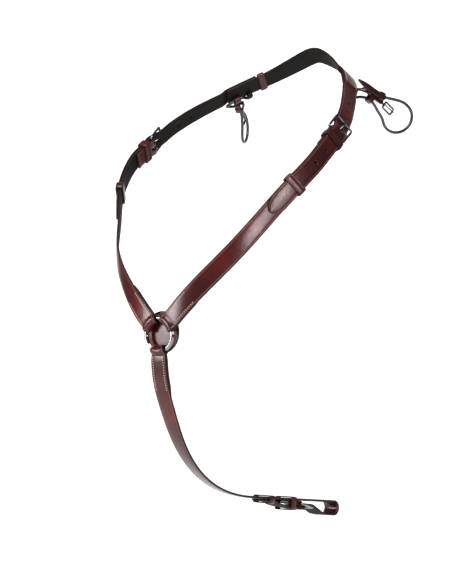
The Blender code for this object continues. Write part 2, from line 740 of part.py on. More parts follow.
def add_lacet_keepers(word, side):
    for place_word, keeper in (("lower", LOWER_KEEPER), ("upper", UPPER_KEEPER)):
        section = rounded_box(keeper["half"], keeper["low"], keeper["high"], 0.001)
        name = f"lacet_keeper_{place_word}_{word}"
        lacet_band(name, keeper["centre"], keeper["turn"], section, LACET_KEEPER_LENGTH, side)
    tab = rounded_box(0.0036, -0.0098, -0.0026, 0.0012, centre=TAB_ACROSS)
    add_keeper(f"lacet_tab_{word}", ROUTE, TAB_AT, TAB_LENGTH, tab, side)


def add_lacet_buckle(word, side):
    turn = math.radians(LACET_BUCKLE_TURN)

    def at(along, across, out):
        back = LACET_BUCKLE_BASE[0] + along * math.cos(turn) - across * math.sin(turn)
        up = LACET_BUCKLE_BASE[1] + along * math.sin(turn) + across * math.cos(turn)
        return lacet_point(back, up, out, side)

    origin = at(0, 0, 0)
    frame = [at(t, a, n) for t, a, n in frame_outline(LACET_FRAME_LENGTH, LACET_FRAME_HALF, 0.0, 0.0018)]
    wire(f"lacet_frame_{word}", frame, LACET_FRAME_WIRE, STEEL, closed=True, origin=origin)
    path = tongue_path(LACET_TONGUE_EYE, LACET_TONGUE_REACH, LACET_TONGUE_RISE)
    tongue = [at(t, 0, n) for t, n in path]
    wire(f"lacet_tongue_{word}", tongue, LACET_TONGUE_WIRE, STEEL, sides=1, origin=origin)


clear_scene()
PART = new_collection("martingale")
CUTTERS = new_collection("cutters")
LEATHER_MATERIAL = make_material("bridle_leather", (0.16, 0.03, 0.03), 0.0, 0.35)
CORD_MATERIAL = make_material("rolled_leather", (0.12, 0.03, 0.03), 0.0, 0.4)
STEEL = make_material("polished_steel", (0.8, 0.8, 0.8), 1.0, 0.15)
RIGHT_ROWS = [(-x, y, z, 360 - yaw, tilt) for x, y, z, yaw, tilt in reversed(SHOULDER_ROWS)]
ROUTE = make_route(SHOULDER_ROWS + [CROWN_ROW] + RIGHT_ROWS, 2401)
GIRTH = make_route(GIRTH_ROWS)
add_chest_ring()
add_backing_disc()
for word, side in SIDES:
    add_shoulder_strap(word, side)
    add_billet(word, side)
    add_buckle(word, ROUTE, SHOULDER_PIVOT, SHOULDER_PIVOT_OUT, side)
    add_tongue(word, ROUTE, SHOULDER_PIVOT, SHOULDER_PIVOT_OUT, side)
    add_side_keepers(word, side)
    add_lacet(word, side)
add_wither_strap()
add_girth_strap()
add_girth_chape()
add_buckle("girth", GIRTH, GIRTH_PIVOT, GIRTH_PIVOT_OUT, LEFT)
add_tongue("girth", GIRTH, GIRTH_PIVOT, GIRTH_PIVOT_OUT, LEFT)
add_girth_keepers()
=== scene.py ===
# Riding martingale: the detailed leather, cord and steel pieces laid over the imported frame
import math

import bmesh
import bpy
import numpy as np
from mathutils import Matrix, Vector


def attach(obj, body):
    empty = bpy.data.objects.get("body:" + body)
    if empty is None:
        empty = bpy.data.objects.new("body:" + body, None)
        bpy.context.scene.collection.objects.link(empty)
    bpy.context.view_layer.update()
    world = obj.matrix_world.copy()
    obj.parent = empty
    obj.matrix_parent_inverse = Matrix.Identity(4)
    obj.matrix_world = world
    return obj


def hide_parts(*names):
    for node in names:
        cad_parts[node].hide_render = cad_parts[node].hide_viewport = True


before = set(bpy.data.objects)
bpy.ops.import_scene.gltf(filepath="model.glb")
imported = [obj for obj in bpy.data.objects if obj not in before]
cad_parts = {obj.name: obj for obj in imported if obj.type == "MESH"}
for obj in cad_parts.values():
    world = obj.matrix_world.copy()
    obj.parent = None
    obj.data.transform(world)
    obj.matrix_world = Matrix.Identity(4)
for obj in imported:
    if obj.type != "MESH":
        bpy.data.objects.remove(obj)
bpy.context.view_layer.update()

ringCentre = np.array([0.0, -0.35735, -0.40204])

camera = {
    "azimuth": 39.0,
    "distance": 3.0,
    "focal": 2280.0,  # on the scale of the render size below
    "sensor": 36,
    "image": (452, 584),
    "ringAt": (159.3, 334.5),
}


def linkedObject(name, data):
    obj = bpy.data.objects.new(name, data)
    bpy.context.scene.collection.objects.link(obj)
    return obj


def addCamera():
    across = camera["ringAt"][0] - camera["image"][0] / 2
    down = camera["ringAt"][1] - camera["image"][1] / 2
    turn = math.radians(camera["azimuth"])
    data = bpy.data.cameras.new("studioCamera")
    data.lens = camera["focal"] / camera["image"][1] * camera["sensor"]
    data.sensor_width = camera["sensor"]
    data.clip_end = 200
    obj = linkedObject("studioCamera", data)
    away = np.array([math.sin(turn), -math.cos(turn), 0.0])
    obj.location = ringCentre + away * camera["distance"]
    yaw = turn + math.atan(across / camera["focal"])
    pitch = math.atan(down / camera["focal"])
    obj.rotation_euler = (math.pi / 2 + pitch, 0, yaw)
    bpy.context.scene.camera = obj


addCamera()
print("camera set")

# Strap centre lines: x, y, z from the ring centre, then the way the strap faces as yaw and tilt in degrees
shoulderRows = [
    (0.0156, -0.0017, 0.0156, 0, 0),
    (0.0240, -0.0012, 0.0242, 2, 0),
    (0.0420, 0.0020, 0.0430, 12, 0),
    (0.0700, 0.0130, 0.0730, 32, 0),
    (0.0980, 0.0320, 0.1070, 48, 1),
    (0.1260, 0.0690, 0.1570, 58, 3),
    (0.1470, 0.0985, 0.1960, 64, 6),
    (0.1590, 0.1270, 0.2255, 71, 10),
    (0.1620, 0.1460, 0.2434, 76, 13),
    (0.1610, 0.1680, 0.2600, 81, 17),
    (0.1550, 0.2000, 0.2840, 87, 23),
    (0.1460, 0.2225, 0.3010, 92, 28),
    (0.1360, 0.2410, 0.3140, 96, 32),
    (0.1120, 0.2800, 0.3380, 101, 40),
    (0.0880, 0.3110, 0.3570, 109, 43),
    (0.0620, 0.3360, 0.3740, 129, 45),
    (0.0380, 0.3500, 0.3880, 154, 44),
    (0.0180, 0.3565, 0.3980, 169, 41),
]
crownRow = (0.0, 0.3585, 0.4030, 180, 40)
girthRows = [
    (0, -0.0017, -0.0220, 0, 0),
    (0, -0.0012, -0.0340, 0, 0),
    (0, 0.0030, -0.0620, 0, -5),
    (0, 0.0180, -0.1000, -3, -18),
    (0, 0.0425, -0.1450, -12, -32),
    (0, 0.0840, -0.1870, -20, -47),
    (0, 0.1460, -0.2150, -20, -67),
    (0, 0.2390, -0.2280, -8, -84),
    (0, 0.3300, -0.2360, 0, -85),
    (0, 0.4000, -0.2420, 0, -85),
]


def splineRows(rows, count):  # natural cubic spline by chord length
    rows = np.array(rows, float)
    gaps = np.linalg.norm(np.diff(rows[:, :3], axis=0), axis=1)
    knots = np.concatenate([[0], np.cumsum(gaps)])
    last = len(rows) - 1
    system = np.eye(len(rows))
    target = np.zeros_like(rows)
    for i in range(1, last):
        system[i, i - 1 : i + 2] = gaps[i - 1], 2 * (gaps[i - 1] + gaps[i]), gaps[i]
        target[i] = 6 * ((rows[i + 1] - rows[i]) / gaps[i] - (rows[i] - rows[i - 1]) / gaps[i - 1])
    bends = np.linalg.solve(system, target)
    at = np.linspace(0, knots[-1], count)
    span = np.clip(np.searchsorted(knots, at, side="right") - 1, 0, last - 1)
    gap = gaps[span][:, None]
    after = (at - knots[span])[:, None] / gap
    before = 1 - after
    bow = (before**3 - before) * bends[span] + (after**3 - after) * bends[span + 1]
    return before * rows[span] + after * rows[span + 1] + bow * gap**2 / 6


def buildRoute(rows, count):  # centre line with unit directions: along, out of the face, across
    samples = splineRows(rows, count)
    points = samples[:, :3]
    yaw, tilt = np.radians(samples[:, 3]), np.radians(samples[:, 4])
    facing = np.stack([np.sin(yaw) * np.cos(tilt), -np.cos(yaw) * np.cos(tilt), np.sin(tilt)], axis=1)
    along = np.gradient(points, axis=0)
    along /= np.linalg.norm(along, axis=1)[:, None]
    across = np.cross(facing, along)
    across /= np.linalg.norm(across, axis=1)[:, None]
    out = np.cross(along, across)
    gaps = np.linalg.norm(np.diff(points, axis=0), axis=1)
    at = np.concatenate([[0], np.cumsum(gaps)])
    return {"at": at, "columns": np.hstack([points + ringCentre, along, out, across])}


rightRows = [(-x, y, z, 360 - yaw, tilt) for x, y, z, yaw, tilt in reversed(shoulderRows)]
shoulderRoute = buildRoute(shoulderRows + [crownRow] + rightRows, 2401)
girthRoute = buildRoute(girthRows, 1201)


def framesAt(route, ats):  # (count, 4, 3): point, along, out, across
    values = [np.interp(ats, route["at"], column) for column in route["columns"].T]
    return np.array(values).T.reshape(-1, 4, 3)


def flatPoint(route, pivot, along, across, out):  # rigid piece: the flat frame at one place
    point, forward, outward, sideways = framesAt(route, [pivot])[0]
    return point + forward * along + sideways * across + outward * out


def softProfile(stations, ats, blur=0.003):  # straight runs between stations, corners rounded
    stations = sorted(stations)
    places = [place for place, _ in stations]
    values = [value for _, value in stations]
    offsets = np.linspace(-blur, blur, 13)
    weights = 1 + np.cos(offsets / blur * math.pi)
    ats = np.asarray(ats)
    spread = np.interp(ats[:, None] + offsets[None, :], places, values)
    return (spread * weights).sum(axis=1) / weights.sum()


# Materials
leather = {
    "deep": (0.014, 0.0024, 0.0030),
    "body": (0.042, 0.0050, 0.0058),
    "red": (0.130, 0.0080, 0.0085),
    "streak": (0.085, 0.014, 0.012),
    # pale colour of the painted highlight along the inner side of each edge crease
    "paintedCreaseHighlight": (0.26, 0.095, 0.080),
    "edge": (0.026, 0.0090, 0.0070),
    "flesh": (0.0070, 0.0050, 0.0042),
    "fibre": (0.020, 0.013, 0.011),
    "tint": (1.0, 0.78, 0.78),
    "reach": 0.0130,
}
cordTones = [(0.3, (0.009, 0.0040, 0.0034)), (0.55, (0.022, 0.0080, 0.0066)), (0.8, (0.045, 0.016, 0.012))]
threadTones = [(0.3, (0.42, 0.31, 0.24)), (0.7, (0.72, 0.60, 0.50))]


def startMaterial(name):
    material = bpy.data.materials.new(name)
    material.use_nodes = True
    tree = material.node_tree
    return material, tree, tree.nodes["Principled BSDF"]


def feed(tree, node, values):  # a socket is linked, anything else is set
    for name, value in values.items():
        if isinstance(value, bpy.types.NodeSocket):
            tree.links.new(value, node.inputs[name])
        else:
            node.inputs[name].default_value = value


def addNode(tree, kind, output, values):
    node = tree.nodes.new(kind)
    feed(tree, node, values)
    return node.outputs[output]


def addNoise(tree, vector, scale, detail, roughness=0.5):
    values = {"Vector": vector, "Scale": scale, "Detail": detail, "Roughness": roughness}
    return addNode(tree, "ShaderNodeTexNoise", "Fac", values)


def addStretch(tree, vector, scale):
    return addNode(tree, "ShaderNodeMapping", "Vector", {"Vector": vector, "Scale": scale})


def addRamp(tree, factor, stops):
    ramp = tree.nodes.new("ShaderNodeValToRGB")
    ramp.color_ramp.elements[0].position = stops[0][0]
    ramp.color_ramp.elements[0].color = (*stops[0][1], 1)
    ramp.color_ramp.elements[1].position = stops[-1][0]
    ramp.color_ramp.elements[1].color = (*stops[-1][1], 1)
    for place, colour in stops[1:-1]:
        stop = ramp.color_ramp.elements.new(place)
        stop.color = (*colour, 1)
    tree.links.new(factor, ramp.inputs["Fac"])
    return ramp.outputs["Color"]


def addRange(tree, value, low, high, toLow, toHigh):
    values = {"Value": value, "From Min": low, "From Max": high, "To Min": toLow, "To Max": toHigh}
    return addNode(tree, "ShaderNodeMapRange", "Result", values)


def addBump(tree, height, strength, distance, before=None):
    values = {"Height": height, "Strength": strength, "Distance": distance}
    if before is not None:
        values["Normal"] = before
    return addNode(tree, "ShaderNodeBump", "Normal", values)


def mixColours(tree, factor, first, second):
    mix = tree.nodes.new("ShaderNodeMix")
    mix.data_type = "RGBA"
    for value, socket in ((factor, "Factor"), (first, "A"), (second, "B")):
        inputs = [item for item in mix.inputs if item.name == socket and item.enabled]
        if isinstance(value, bpy.types.NodeSocket):
            tree.links.new(value, inputs[0])
        else:
            inputs[0].default_value = value
    return next(item for item in mix.outputs if item.enabled)


def makeBridleFace():  # dyed, waxed grain side
    material, tree, shader = startMaterial("bridleFace")
    place = tree.nodes.new("ShaderNodeTexCoord")
    body = place.outputs["Object"]
    strap = place.outputs["UV"]
    broad = addNoise(tree, body, 14, 3)
    cloud = addNoise(tree, body, 60, 4)
    tones = [(0.30, leather["deep"]), (0.52, leather["body"]), (0.75, leather["red"])]
    colour = addRamp(tree, broad, tones)
    mottle = addRange(tree, cloud, 0.3, 0.7, 0.0, 0.45)
    colour = mixColours(tree, mottle, colour, (*leather["deep"], 1))
    streaks = addNoise(tree, addStretch(tree, strap, (18, 700, 1)), 1.0, 3)
    drag = addRange(tree, streaks, 0.45, 0.75, 0.0, 0.25)
    colour = mixColours(tree, drag, colour, (*leather["streak"], 1))
    lateral = tree.nodes.new("ShaderNodeMath")
    lateral.operation = "ABSOLUTE"
    feed(tree, lateral, {0: addNode(tree, "ShaderNodeSeparateXYZ", "Y", {"Vector": strap})})
    reach = addRange(tree, lateral.outputs["Value"], 0.0, leather["reach"], 0.0, 1.0)
    black, white = (0, 0, 0), (1, 1, 1)
    shade = addRamp(tree, reach, [(0.84, black), (0.88, white), (1.0, white)])
    colour = mixColours(tree, addRange(tree, shade, 0, 1, 0, 0.8), colour, (*leather["deep"], 1))
    # A thin pale line along the inner side of each edge crease is a painted highlight; the same mask presses
    # the crease in through the bump below.
    groove = addRamp(tree, reach, [(0.75, black), (0.785, white), (0.835, white), (0.87, black)])
    colour = mixColours(tree, addRange(tree, groove, 0, 1, 0, 0.5), colour, (*leather["paintedCreaseHighlight"], 1))
    pores = addNode(tree, "ShaderNodeTexVoronoi", "Distance", {"Vector": body, "Scale": 1500})
    normal = addBump(tree, pores, 0.12, 0.0003)
    normal = addBump(tree, addNoise(tree, body, 240, 5, 0.6), 0.10, 0.0006, normal)
    normal = addBump(tree, addNoise(tree, body, 45, 3), 0.10, 0.003, normal)
    normal = addBump(tree, groove, -0.5, 0.0004, normal)
    feed(tree, shader, {
        "Base Color": colour,
        "Roughness": addRange(tree, cloud, 0.25, 0.75, 0.24, 0.34),
        "Coat Weight": 0.22,
        "Coat Roughness": 0.16,
        "Specular IOR Level": 0.30,
        "Specular Tint": (*leather["tint"], 1),
        "Normal": normal,
        "Coat Normal": normal,
    })
    return material


def makeBridleEdge():  # cut and burnished edge
    material, tree, shader = startMaterial("bridleEdge")
    body = tree.nodes.new("ShaderNodeTexCoord").outputs["Object"]
    grain = addNoise(tree, body, 220, 4)
    deep = tuple(value * 0.4 for value in leather["edge"])
    feed(tree, shader, {
        "Base Color": addRamp(tree, grain, [(0.3, deep), (0.7, leather["edge"])]),
        "Roughness": addRange(tree, grain, 0.3, 0.7, 0.45, 0.65),
        "Normal": addBump(tree, grain, 0.2, 0.0006),
        "Specular IOR Level": 0.2,
    })
    return material


def makeFleshSide():  # dark, fibrous underside
    material, tree, shader = startMaterial("fleshSide")
    body = tree.nodes.new("ShaderNodeTexCoord").outputs["Object"]
    fibre = addNoise(tree, body, 420, 6, 0.7)
    patch = addNoise(tree, body, 26, 3)
    deep = tuple(0.5 * value for value in leather["flesh"])
    colour = addRamp(tree, patch, [(0.3, deep), (0.7, leather["flesh"])])
    lift = addRange(tree, fibre, 0.45, 0.8, 0.0, 0.35)
    feed(tree, shader, {
        "Base Color": mixColours(tree, lift, colour, (*leather["fibre"], 1)),
        "Roughness": addRange(tree, fibre, 0.3, 0.7, 0.55, 0.8),
        "Normal": addBump(tree, fibre, 0.5, 0.0006),
        "Specular IOR Level": 0.15,
    })
    return material


def makeCordLeather():  # leather rolled and stitched into a cord
    material, tree, shader = startMaterial("rolledCord")
    place = tree.nodes.new("ShaderNodeTexCoord")
    body = place.outputs["Object"]
    tone = addNoise(tree, body, 70, 4)
    ridges = addNoise(tree, addStretch(tree, place.outputs["UV"], (260, 120, 1)), 1.0, 2)
    normal = addBump(tree, ridges, 0.3, 0.0005)
    feed(tree, shader, {
        "Base Color": addRamp(tree, tone, cordTones),
        "Roughness": addRange(tree, tone, 0.3, 0.7, 0.3, 0.48),
        "Normal": addBump(tree, addNoise(tree, body, 500, 4), 0.25, 0.0004, normal),
        "Coat Weight": 0.35,
        "Coat Roughness": 0.22,
    })
    return material


def makeSteel(name, darkest, palest):
    material, tree, shader = startMaterial(name)
    body = tree.nodes.new("ShaderNodeTexCoord").outputs["Object"]
    cloud = addNoise(tree, body, 90, 4)
    fine = addNoise(tree, addStretch(tree, body, (1, 6, 1)), 900, 3, 0.6)
    feed(tree, shader, {
        "Base Color": addRamp(tree, cloud, [(0.3, darkest), (0.7, palest)]),
        "Roughness": addRange(tree, cloud, 0.3, 0.7, 0.06, 0.13),
        "Normal": addBump(tree, fine, 0.02, 0.0001),
        "Metallic": 1,
    })
    return material


def makeThread():
    material, tree, shader = startMaterial("waxedThread")
    body = tree.nodes.new("ShaderNodeTexCoord").outputs["Object"]
    twist = addNoise(tree, body, 1800, 3)
    feed(tree, shader, {
        "Base Color": addRamp(tree, twist, threadTones),
        "Normal": addBump(tree, twist, 0.5, 0.0002),
        "Roughness": 0.6,
    })
    return material


faceLeather = makeBridleFace()
edgeLeather = makeBridleEdge()
fleshLeather = makeFleshSide()
cordLeather = makeCordLeather()
steel = makeSteel("polishedSteel", (0.15, 0.15, 0.155), (0.30, 0.30, 0.295))
darkSteel = makeSteel("darkSteel", (0.08, 0.08, 0.085), (0.18, 0.18, 0.18))
thread = makeThread()
strapMaterials = [faceLeather, edgeLeather, fleshLeather]  # material index 0, 1, 2 on every strap
print("materials made")


def meshObject(name, bm, materials):
    mesh = bpy.data.meshes.new(name)
    bm.to_mesh(mesh)
    bm.free()
    for material in materials:
        mesh.materials.append(material)
    return linkedObject(name, mesh)


def addPiece(name, bm, materials, body, node=None, tools=()):
    piece = meshObject(name, bm, materials)
    if tools:
        punch(piece, tools)
    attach(piece, body)
    if node:
        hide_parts(node)
    return piece


def addPair(name, bm, materials, body, node=None, tools=()):  # left, then its twin
    def named(text, word):
        return text and text.replace("SIDE", word)

    left = addPiece(name + "Left", bm, materials, named(body, "left"), named(node, "left"), tools)
    twin = bmesh.new()
    twin.from_mesh(left.data)
    bmesh.ops.scale(twin, verts=list(twin.verts), vec=(-1, 1, 1))
    bmesh.ops.reverse_faces(twin, faces=list(twin.faces))
    right = addPiece(name + "Right", twin, materials, named(body, "right"), named(node, "right"))
    return left, right


def settleNormals(bm):
    bm.normal_update()
    bmesh.ops.recalc_face_normals(bm, faces=list(bm.faces))


def skinGrid(points, kinds, alongAt, acrossAt, loop=False):  # closed skin over rows of section points
    points = np.concatenate([points, points[:, :1]], axis=1)
    if loop:
        points = np.concatenate([points, points[:1]], axis=0)
    lastRow, lastColumn = points.shape[0] - 1, points.shape[1] - 1
    bm = bmesh.new()
    layer = bm.loops.layers.uv.new("UVMap")
    bmesh.ops.create_grid(bm, x_segments=lastRow, y_segments=lastColumn, size=1)
    where = {v: (round((v.co.x + 1) / 2 * lastRow), round((v.co.y + 1) / 2 * lastColumn)) for v in bm.verts}
    for face in bm.faces:
        column = min(where[corner.vert][1] for corner in face.loops)
        face.material_index = kinds[column]
        face.smooth = True
        for corner in face.loops:
            row, around = where[corner.vert]
            corner[layer].uv = (alongAt[row], acrossAt[around])
    for vertex, (row, column) in where.items():
        vertex.co = points[row, column]
    bmesh.ops.remove_doubles(bm, verts=list(bm.verts), dist=1e-7)
    if not loop:
        rim = [edge for edge in bm.edges if edge.is_boundary]
        made = bmesh.ops.holes_fill(bm, edges=rim, sides=0)["faces"]
        for face in made:
            face.material_index = min(1, max(kinds))
    settleNormals(bm)
    return bm


# Strap section: distance in from the edge and height over the mid-surface, for a 26 by 3 mm strap
strapSection = {
    "half": 0.013,
    "thick": 0.003,
    "front": [(0.0, 0.0004), (0.0003, 0.0010), (0.0010, 0.0014), (0.0019, 0.0014), (0.0023, 0.0010),
              (0.0028, 0.0014), (0.0042, 0.0016), (0.0075, 0.0018), (0.0130, 0.0019)],
    "back": [(0.0, -0.0007), (0.0004, -0.0012), (0.0012, -0.0015), (0.0042, -0.0015), (0.0130, -0.0015)],
}


def sectionRing(section, half, thick):
    scale = thick / section["thick"]
    wide = half / section["half"]
    ring = []
    for inset, out in section["front"]:
        ring.append((-half + inset * wide, out * scale, inset))
    for inset, out in reversed(section["front"][:-1]):
        ring.append((half - inset * wide, out * scale, inset))
    frontCount = len(ring)
    for inset, out in section["back"]:
        ring.append((half - inset * wide, out * scale, inset))
    for inset, out in reversed(section["back"][:-1]):
        ring.append((-half + inset * wide, out * scale, inset))
    kinds = []
    for i in range(len(ring)):
        inset = max(ring[i][2], ring[(i + 1) % len(ring)][2])
        if i < frontCount - 1:
            kinds.append(1 if inset <= 0.0011 else 0)
        else:
            kinds.append(1 if inset <= 0.0005 else 2)
    return ring, kinds


def strapSkin(rows, half, thick):  # rows: functions that give mid-surface points
    ring, kinds = sectionRing(strapSection, half, thick)
    parts = sorted({round(across / half, 6) for across, _, _ in ring})
    mid = np.concatenate([row(np.array(parts)) for row in rows], axis=0)
    down = np.gradient(mid, axis=0)
    over = np.gradient(mid, np.array(parts), axis=1)
    normal = np.cross(down, over)
    normal /= np.linalg.norm(normal, axis=2)[:, :, None] + 1e-12
    columns = [parts.index(round(across / half, 6)) for across, _, _ in ring]
    heights = np.array([out for _, out, _ in ring])
    points = mid[:, columns] + normal[:, columns] * heights[None, :, None]
    middle = mid[:, len(parts) // 2]
    along = np.concatenate([[0], np.cumsum(np.linalg.norm(np.diff(middle, axis=0), axis=1))])
    across = [across for across, _, _ in ring] + [ring[0][0]]
    return skinGrid(points, kinds, along, across)


def flatLayer(route, ats, outs, halves, bow=0.014):
    ats, outs, halves = np.asarray(ats, float), np.asarray(outs, float), np.asarray(halves, float)

    def rows(parts):
        base = framesAt(route, ats)
        across = halves[:, None] * parts[None, :]
        inside = np.minimum(np.abs(across), strap["foldHalf"])
        sagitta = ring["radius"] - np.sqrt(ring["radius"] ** 2 - inside**2)
        bend = sagitta * np.clip(1 - ats / bow, 0, 1)[:, None]  # near the ring the rows follow its curve
        point, along, outward, sideways = (base[:, None, i] for i in range(4))
        points = point + sideways * across[..., None] + outward * outs[:, None, None]
        return points - along * bend[..., None]

    return rows


def ringTurn(middle, half, turnRadius):  # the strap round the wire of the ring
    def rows(parts):
        turn = np.radians(np.linspace(270, 90, 19))[:, None]
        spoke = math.radians(middle) + np.arcsin(parts * half / ring["radius"])[None, :]
        reach = ring["radius"] + turnRadius * np.cos(turn)
        depth = -turnRadius * np.sin(turn) + 0 * spoke
        points = np.stack([np.cos(spoke) * reach, depth, np.sin(spoke) * reach], axis=2)
        return points + ringCentre

    return rows


def barTurn(route, pivot, pivotOut, radius, half):  # the strap round the bar of a buckle
    def rows(parts):
        made = []
        for turn in np.radians(np.linspace(90, -90, 11)):
            ahead, out = radius * math.cos(turn), pivotOut + radius * math.sin(turn)
            made.append([flatPoint(route, pivot, ahead, part * half, out) for part in parts])
        return np.array(made)

    return rows


def ringEnd(route, half, foldHalf, turnRadius, front):  # from the flat strap to the turn at the ring
    ats = np.array([0.8, 1.6, 2.4, 3.2, 4.0, 4.8, 5.6, 6.6, 8.0, 10.0, 12.0, 14.0]) / 1000
    parts = np.array([0.98, 0.92, 0.80, 0.58, 0.28, 0.02, -0.10, -0.09, -0.05, -0.02, 0.0, 0.0])
    spread = (turnRadius - strap["step"] / 2) * parts
    outs = spread if front else -strap["step"] - spread
    halves = half + (foldHalf - half) * (1 - ats / ats[-1])
    if not front:
        ats, outs, halves = ats[::-1], outs[::-1], halves[::-1]
    return flatLayer(route, ats, outs, halves)


def steps(start, end, step=0.004):
    return np.linspace(start, end, max(2, round(abs(end - start) / step) + 1))


def even(route, start, end, out, half, step=0.004):
    ats = steps(start, end, step)
    return flatLayer(route, ats, np.full(len(ats), out), np.full(len(ats), half))


def backLayer(route, tail, half):  # the folded end, narrowed where it stops
    ats = steps(tail, 0.016)
    halves = half * np.interp(ats, [tail - 0.014, tail], [1.0, 0.8])
    return flatLayer(route, ats, np.full(len(ats), -strap["step"]), halves)


def ringFold(route, style, middle):  # back layer, turn round the ring, start of the front layer
    half, foldHalf, foldTurn = style["half"], style["foldHalf"], style["foldTurn"]
    return [
        backLayer(route, style["tail"], half),
        ringEnd(route, half, foldHalf, foldTurn, False),
        ringTurn(middle, foldHalf, foldTurn),
        ringEnd(route, half, foldHalf, foldTurn, True),
    ]


def barFold(route, pivot, pivotOut, turn, half, top, under):  # the strap in, round the bar and out again
    ats = pivot + np.array([-0.008, -0.0065, -0.005, -0.0035, -0.002])
    halves = np.full(len(ats), half)
    return [
        flatLayer(route, ats, softProfile(top, ats, 0.002), halves),
        barTurn(route, pivot, pivotOut, turn, half),
        flatLayer(route, ats[::-1], softProfile(under, ats[::-1], 0.002), halves),
    ]


def cutterBox(route, at, out, halfLength, halfWidth, halfDepth, isRound=True):
    bm = bmesh.new()
    point, along, outward, across = framesAt(route, [at])[0]
    if isRound:
        made = bmesh.ops.create_cone(bm, cap_ends=True, segments=20, radius1=1, radius2=1, depth=2)["verts"]
    else:
        made = bmesh.ops.create_cube(bm, size=2)["verts"]
    for vertex in made:
        local = point + along * vertex.co.x * halfLength + across * vertex.co.y * halfWidth
        vertex.co = local + outward * (out + vertex.co.z * halfDepth)
    settleNormals(bm)
    return bm


def tongueSlot(route, pivot, out):
    return cutterBox(route, pivot + 0.0105, out, 0.0082, 0.0021, 0.0085)


def roundHole(route, at, out):
    return cutterBox(route, at, out, billet["holeRadius"], billet["holeRadius"], 0.0027)


def punch(piece, cutters):  # one Boolean for all the holes of a piece
    whole = bmesh.new()
    for bm in cutters:
        scrap = bpy.data.meshes.new("scrap")
        bm.to_mesh(scrap)
        bm.free()
        whole.from_mesh(scrap)
        bpy.data.meshes.remove(scrap)
    for face in whole.faces:
        face.material_index = 1
    tool = meshObject("punchTool", whole, strapMaterials)
    cut = piece.modifiers.new("punch", "BOOLEAN")
    cut.operation = "DIFFERENCE"
    cut.solver = "EXACT"
    cut.object = tool
    graph = bpy.context.evaluated_depsgraph_get()
    punched = bpy.data.meshes.new_from_object(piece.evaluated_get(graph))
    piece.modifiers.clear()
    piece.data = punched
    bpy.data.objects.remove(tool)


def tubeSkin(path, radii, sidesCount, up, loop=False, groove=0.0):
    path = np.array(path, float)
    along = np.gradient(path, axis=0)
    if loop:
        along = np.roll(path, -1, axis=0) - np.roll(path, 1, axis=0)
    along /= np.linalg.norm(along, axis=1)[:, None]
    up = np.array(up)
    normals = []
    normal = up - along[0] * np.dot(up, along[0])
    for direction in along:
        normal = normal - direction * np.dot(normal, direction)
        normal /= np.linalg.norm(normal)
        normals.append(normal)
    normals = np.array(normals)
    binormals = np.cross(along, normals)
    turns = np.linspace(0, 2 * math.pi, sidesCount, endpoint=False)
    shape = np.ones(sidesCount)
    shape[0] -= groove
    radii = np.broadcast_to(np.asarray(radii, float), (len(path),))
    ringPoints = []
    for turn, factor in zip(turns, shape):
        offset = normals * math.cos(turn) + binormals * math.sin(turn)
        ringPoints.append(path + offset * (radii * factor)[:, None])
    points = np.stack(ringPoints, axis=1)
    length = np.concatenate([[0], np.cumsum(np.linalg.norm(np.diff(path, axis=0), axis=1))])
    if loop:
        length = np.append(length, length[-1] + np.linalg.norm(path[0] - path[-1]))
    around = np.linspace(0, 2 * math.pi * float(radii.max()), sidesCount + 1)
    return skinGrid(points, [0] * sidesCount, length, around, loop)


# Cords come first: the two rolled lacet loops
lacet = {
    "centre": np.array([0.1072, 0.2998, 0.3258]),
    "back": np.array([0.349, 0.937, 0.0]),
    "out": np.array([0.937, -0.349, 0.0]),
    "cordRadius": 0.0021,
    "half": 0.00425,
    "thick": 0.0025,
    "route": [  # back, up, out in the lacet plane
        (0.0200, 0.0060, -0.0045),
        (0.0272, 0.0038, -0.0045),
        (0.0330, 0.0000, -0.0042),
        (0.0378, -0.0055, -0.0036),
        (0.0422, -0.0130, -0.0027),
        (0.0475, -0.0210, -0.0015),
        (0.0520, -0.0335, 0.0000),
        (0.0590, -0.0395, 0.0012),
        (0.0699, -0.0414, 0.0024),
        (0.0810, -0.0385, 0.0033),
        (0.0905, -0.0313, 0.0040),
        (0.0954, -0.0220, 0.0044),
        (0.0953, -0.0128, 0.0047),
        (0.0902, -0.0047, 0.0047),
        (0.0810, 0.0013, 0.0046),
        (0.0688, 0.0042, 0.0045),
        (0.0560, 0.0060, 0.0045),
        (0.0505, 0.0067, 0.0045),
    ],
    "point": [
        (0.0495, 0.0066),
        (0.0433, 0.0084),
        (0.0348, 0.0120),
        (0.0241, 0.0175),
        (0.0139, 0.0232),
        (0.0038, 0.0293),
    ],
    "pointHalves": (0.0034, 0.0042, 0.0043, 0.0043, 0.0037, 0.0012),
    "chape": [
        (0.0175, 0.0182, -0.0110),
        (0.0228, 0.0160, -0.0025),
        (0.0320, 0.0093, 0),
        (0.0405, 0.0040, 0),
        (0.0478, -0.0005, 0),
    ],
}


def onLacet(back, up, out):
    point = lacet["centre"] + lacet["back"] * back + (0, 0, up) + lacet["out"] * out
    return point + ringCentre


def underBillet(rows):  # at, across, out on the shoulder route, where the lacet starts
    points = []
    for at, across, out in rows:
        point, _, outward, sideways = framesAt(shoulderRoute, [at])[0]
        points.append(point + sideways * across + outward * out)
    return points


def lacetCordPath(count):
    points = underBillet([(0.526, -0.0070, -0.0062), (0.512, -0.0070, -0.0062), (0.500, -0.0095, -0.0062)])
    points += [onLacet(*row) for row in lacet["route"]]
    return splineRows([(*point, 0, 0) for point in points], count)[:, :3]


def smallStrap(points, halves, facing, thick):
    points = np.array(points)
    along = np.gradient(points, axis=0)
    along /= np.linalg.norm(along, axis=1)[:, None]
    across = np.cross(np.broadcast_to(np.array(facing), along.shape), along)
    across /= np.linalg.norm(across, axis=1)[:, None]
    halves = np.array(halves)

    def rows(parts):
        return points[:, None] + across[:, None] * (halves[:, None] * parts[None, :])[..., None]

    return strapSkin([rows], lacet["half"], thick)


def denser(points, halves, count):
    table = splineRows([(*point, half, 0) for point, half in zip(points, halves)], count)
    return table[:, :3], table[:, 3]


